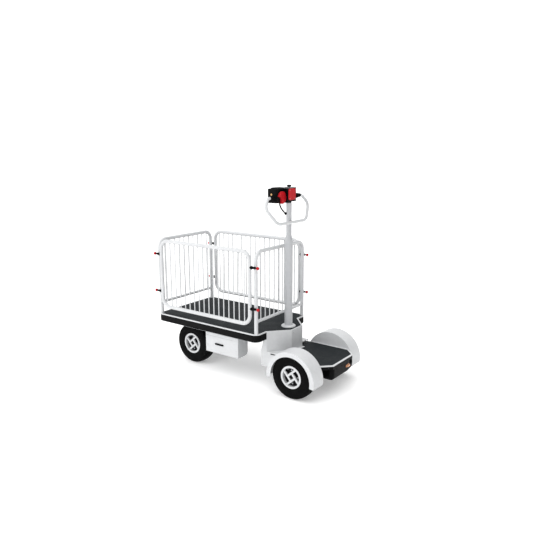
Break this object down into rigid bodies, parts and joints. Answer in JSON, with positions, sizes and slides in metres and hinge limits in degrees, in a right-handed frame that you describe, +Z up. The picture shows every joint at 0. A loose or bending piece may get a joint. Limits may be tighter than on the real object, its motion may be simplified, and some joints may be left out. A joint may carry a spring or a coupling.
{
  "type": "stand-on electric cart",
  "caption": "Stand-on electric platform cart: barred fence round a load deck, steering column with looped handle, and a low rider platform between fendered drive wheels.",
  "frame": {"origin": "centre of the overall box at floor level, under the rear part of the load deck", "axes": "+X forward, towards the fence's front end; +Y to the standing driver's left; +Z up"},
  "size_m": [1.55, 0.676, 1.4623],
  "materials": {
    "white_paint": "satin white powder coat",
    "frame_paint": "pale grey paint",
    "black_steel": "black painted steel",
    "rim_paint": "white painted rim",
    "ribbed_mat": "charcoal ribbed rubber mat",
    "black_rubber": "smooth black rubber",
    "tyre_rubber": "black tyre rubber",
    "black_plastic": "black moulded plastic",
    "red_plastic": "red moulded plastic",
    "amber_lens": "amber lens"
  },
  "bodies": {
    "chassis": {"deck_frame": "frame_paint", "deck_mat": "ribbed_mat", "edge_trim": "white_paint", "bumper": "black_rubber", "nose_cover": "white_paint", "column_flange": "white_paint", "platform_frame": "black_steel", "platform_mat": "ribbed_mat", "tail_housing": "black_plastic", "tail_lamp": "amber_lens", "fender_left": "white_paint", "fender_right": "white_paint", "rear_axle": "black_steel", "battery_box_left": "white_paint", "battery_box_right": "white_paint", "box_handles": "black_plastic", "fence_front": "white_paint", "fence_rear": "white_paint", "latches": "black_plastic", "latch_knobs": "red_plastic"},
    "steering": {"column": "white_paint", "handle_loop": "white_paint", "grips": "black_rubber", "control_head": "black_plastic", "thumb_paddle": "red_plastic", "switch_box": "red_plastic", "stop_knob": "black_plastic", "control_cable": "black_rubber"},
    "drag_link": {"drag_link": "black_steel"},
    "bogie": {"front_bogie": "black_steel"},
    "panel_left": {"side_panel_left": "white_paint", "panel_sockets_left": "black_plastic"},
    "panel_right": {"side_panel_right": "white_paint", "panel_sockets_right": "black_plastic"},
    "wheel_front_left": {"tyre_front_left": "tyre_rubber", "rim_front_left": "rim_paint", "hub_front_left": "black_steel"},
    "wheel_front_right": {"tyre_front_right": "tyre_rubber", "rim_front_right": "rim_paint", "hub_front_right": "black_steel"},
    "wheel_rear_left": {"tyre_rear_left": "tyre_rubber", "rim_rear_left": "rim_paint", "hub_rear_left": "black_steel"},
    "wheel_rear_right": {"tyre_rear_right": "tyre_rubber", "rim_rear_right": "rim_paint", "hub_rear_right": "black_steel"}
  },
  "joints": [
    {"name": "front_steer", "type": "hinge", "parent": "chassis", "child": "bogie", "pos_m": [0.511, 0, 0.165], "axis": [0, 0, 1], "range_deg": [-35, 35]},
    {"name": "column_turn", "type": "hinge", "parent": "chassis", "child": "steering", "pos_m": [-0.3, 0, 0.4], "axis": [0, 0, 1], "range_deg": [-35, 35]},
    {"name": "drag_link_pivot", "type": "hinge", "parent": "steering", "child": "drag_link", "pos_m": [-0.3, 0.08, 0.3428], "axis": [0, 0, 1], "range_deg": [-35, 35]},
    {"name": "wheel_front_left_spin", "type": "hinge", "parent": "bogie", "child": "wheel_front_left", "pos_m": [0.511, 0.145, 0.165], "axis": [0, 1, 0], "continuous": true},
    {"name": "wheel_front_right_spin", "type": "hinge", "parent": "bogie", "child": "wheel_front_right", "pos_m": [0.511, -0.145, 0.165], "axis": [0, 1, 0], "continuous": true},
    {"name": "wheel_rear_left_spin", "type": "hinge", "parent": "chassis", "child": "wheel_rear_left", "pos_m": [-0.543, 0.275, 0.165], "axis": [0, 1, 0], "continuous": true},
    {"name": "wheel_rear_right_spin", "type": "hinge", "parent": "chassis", "child": "wheel_rear_right", "pos_m": [-0.543, -0.275, 0.165], "axis": [0, 1, 0], "continuous": true},
    {"name": "panel_left_drop", "type": "hinge", "parent": "chassis", "child": "panel_left", "pos_m": [0.255, 0.32, 0.6], "axis": [-1, 0, 0], "range_deg": [0, 165]},
    {"name": "panel_right_drop", "type": "hinge", "parent": "chassis", "child": "panel_right", "pos_m": [0.255, -0.32, 0.6], "axis": [1, 0, 0], "range_deg": [0, 165]}
  ],
  "couplings": [
    {"joint": "column_turn", "follows": "front_steer", "ratio": 1},
    {"joint": "drag_link_pivot", "follows": "front_steer", "ratio": -1}
  ]
}
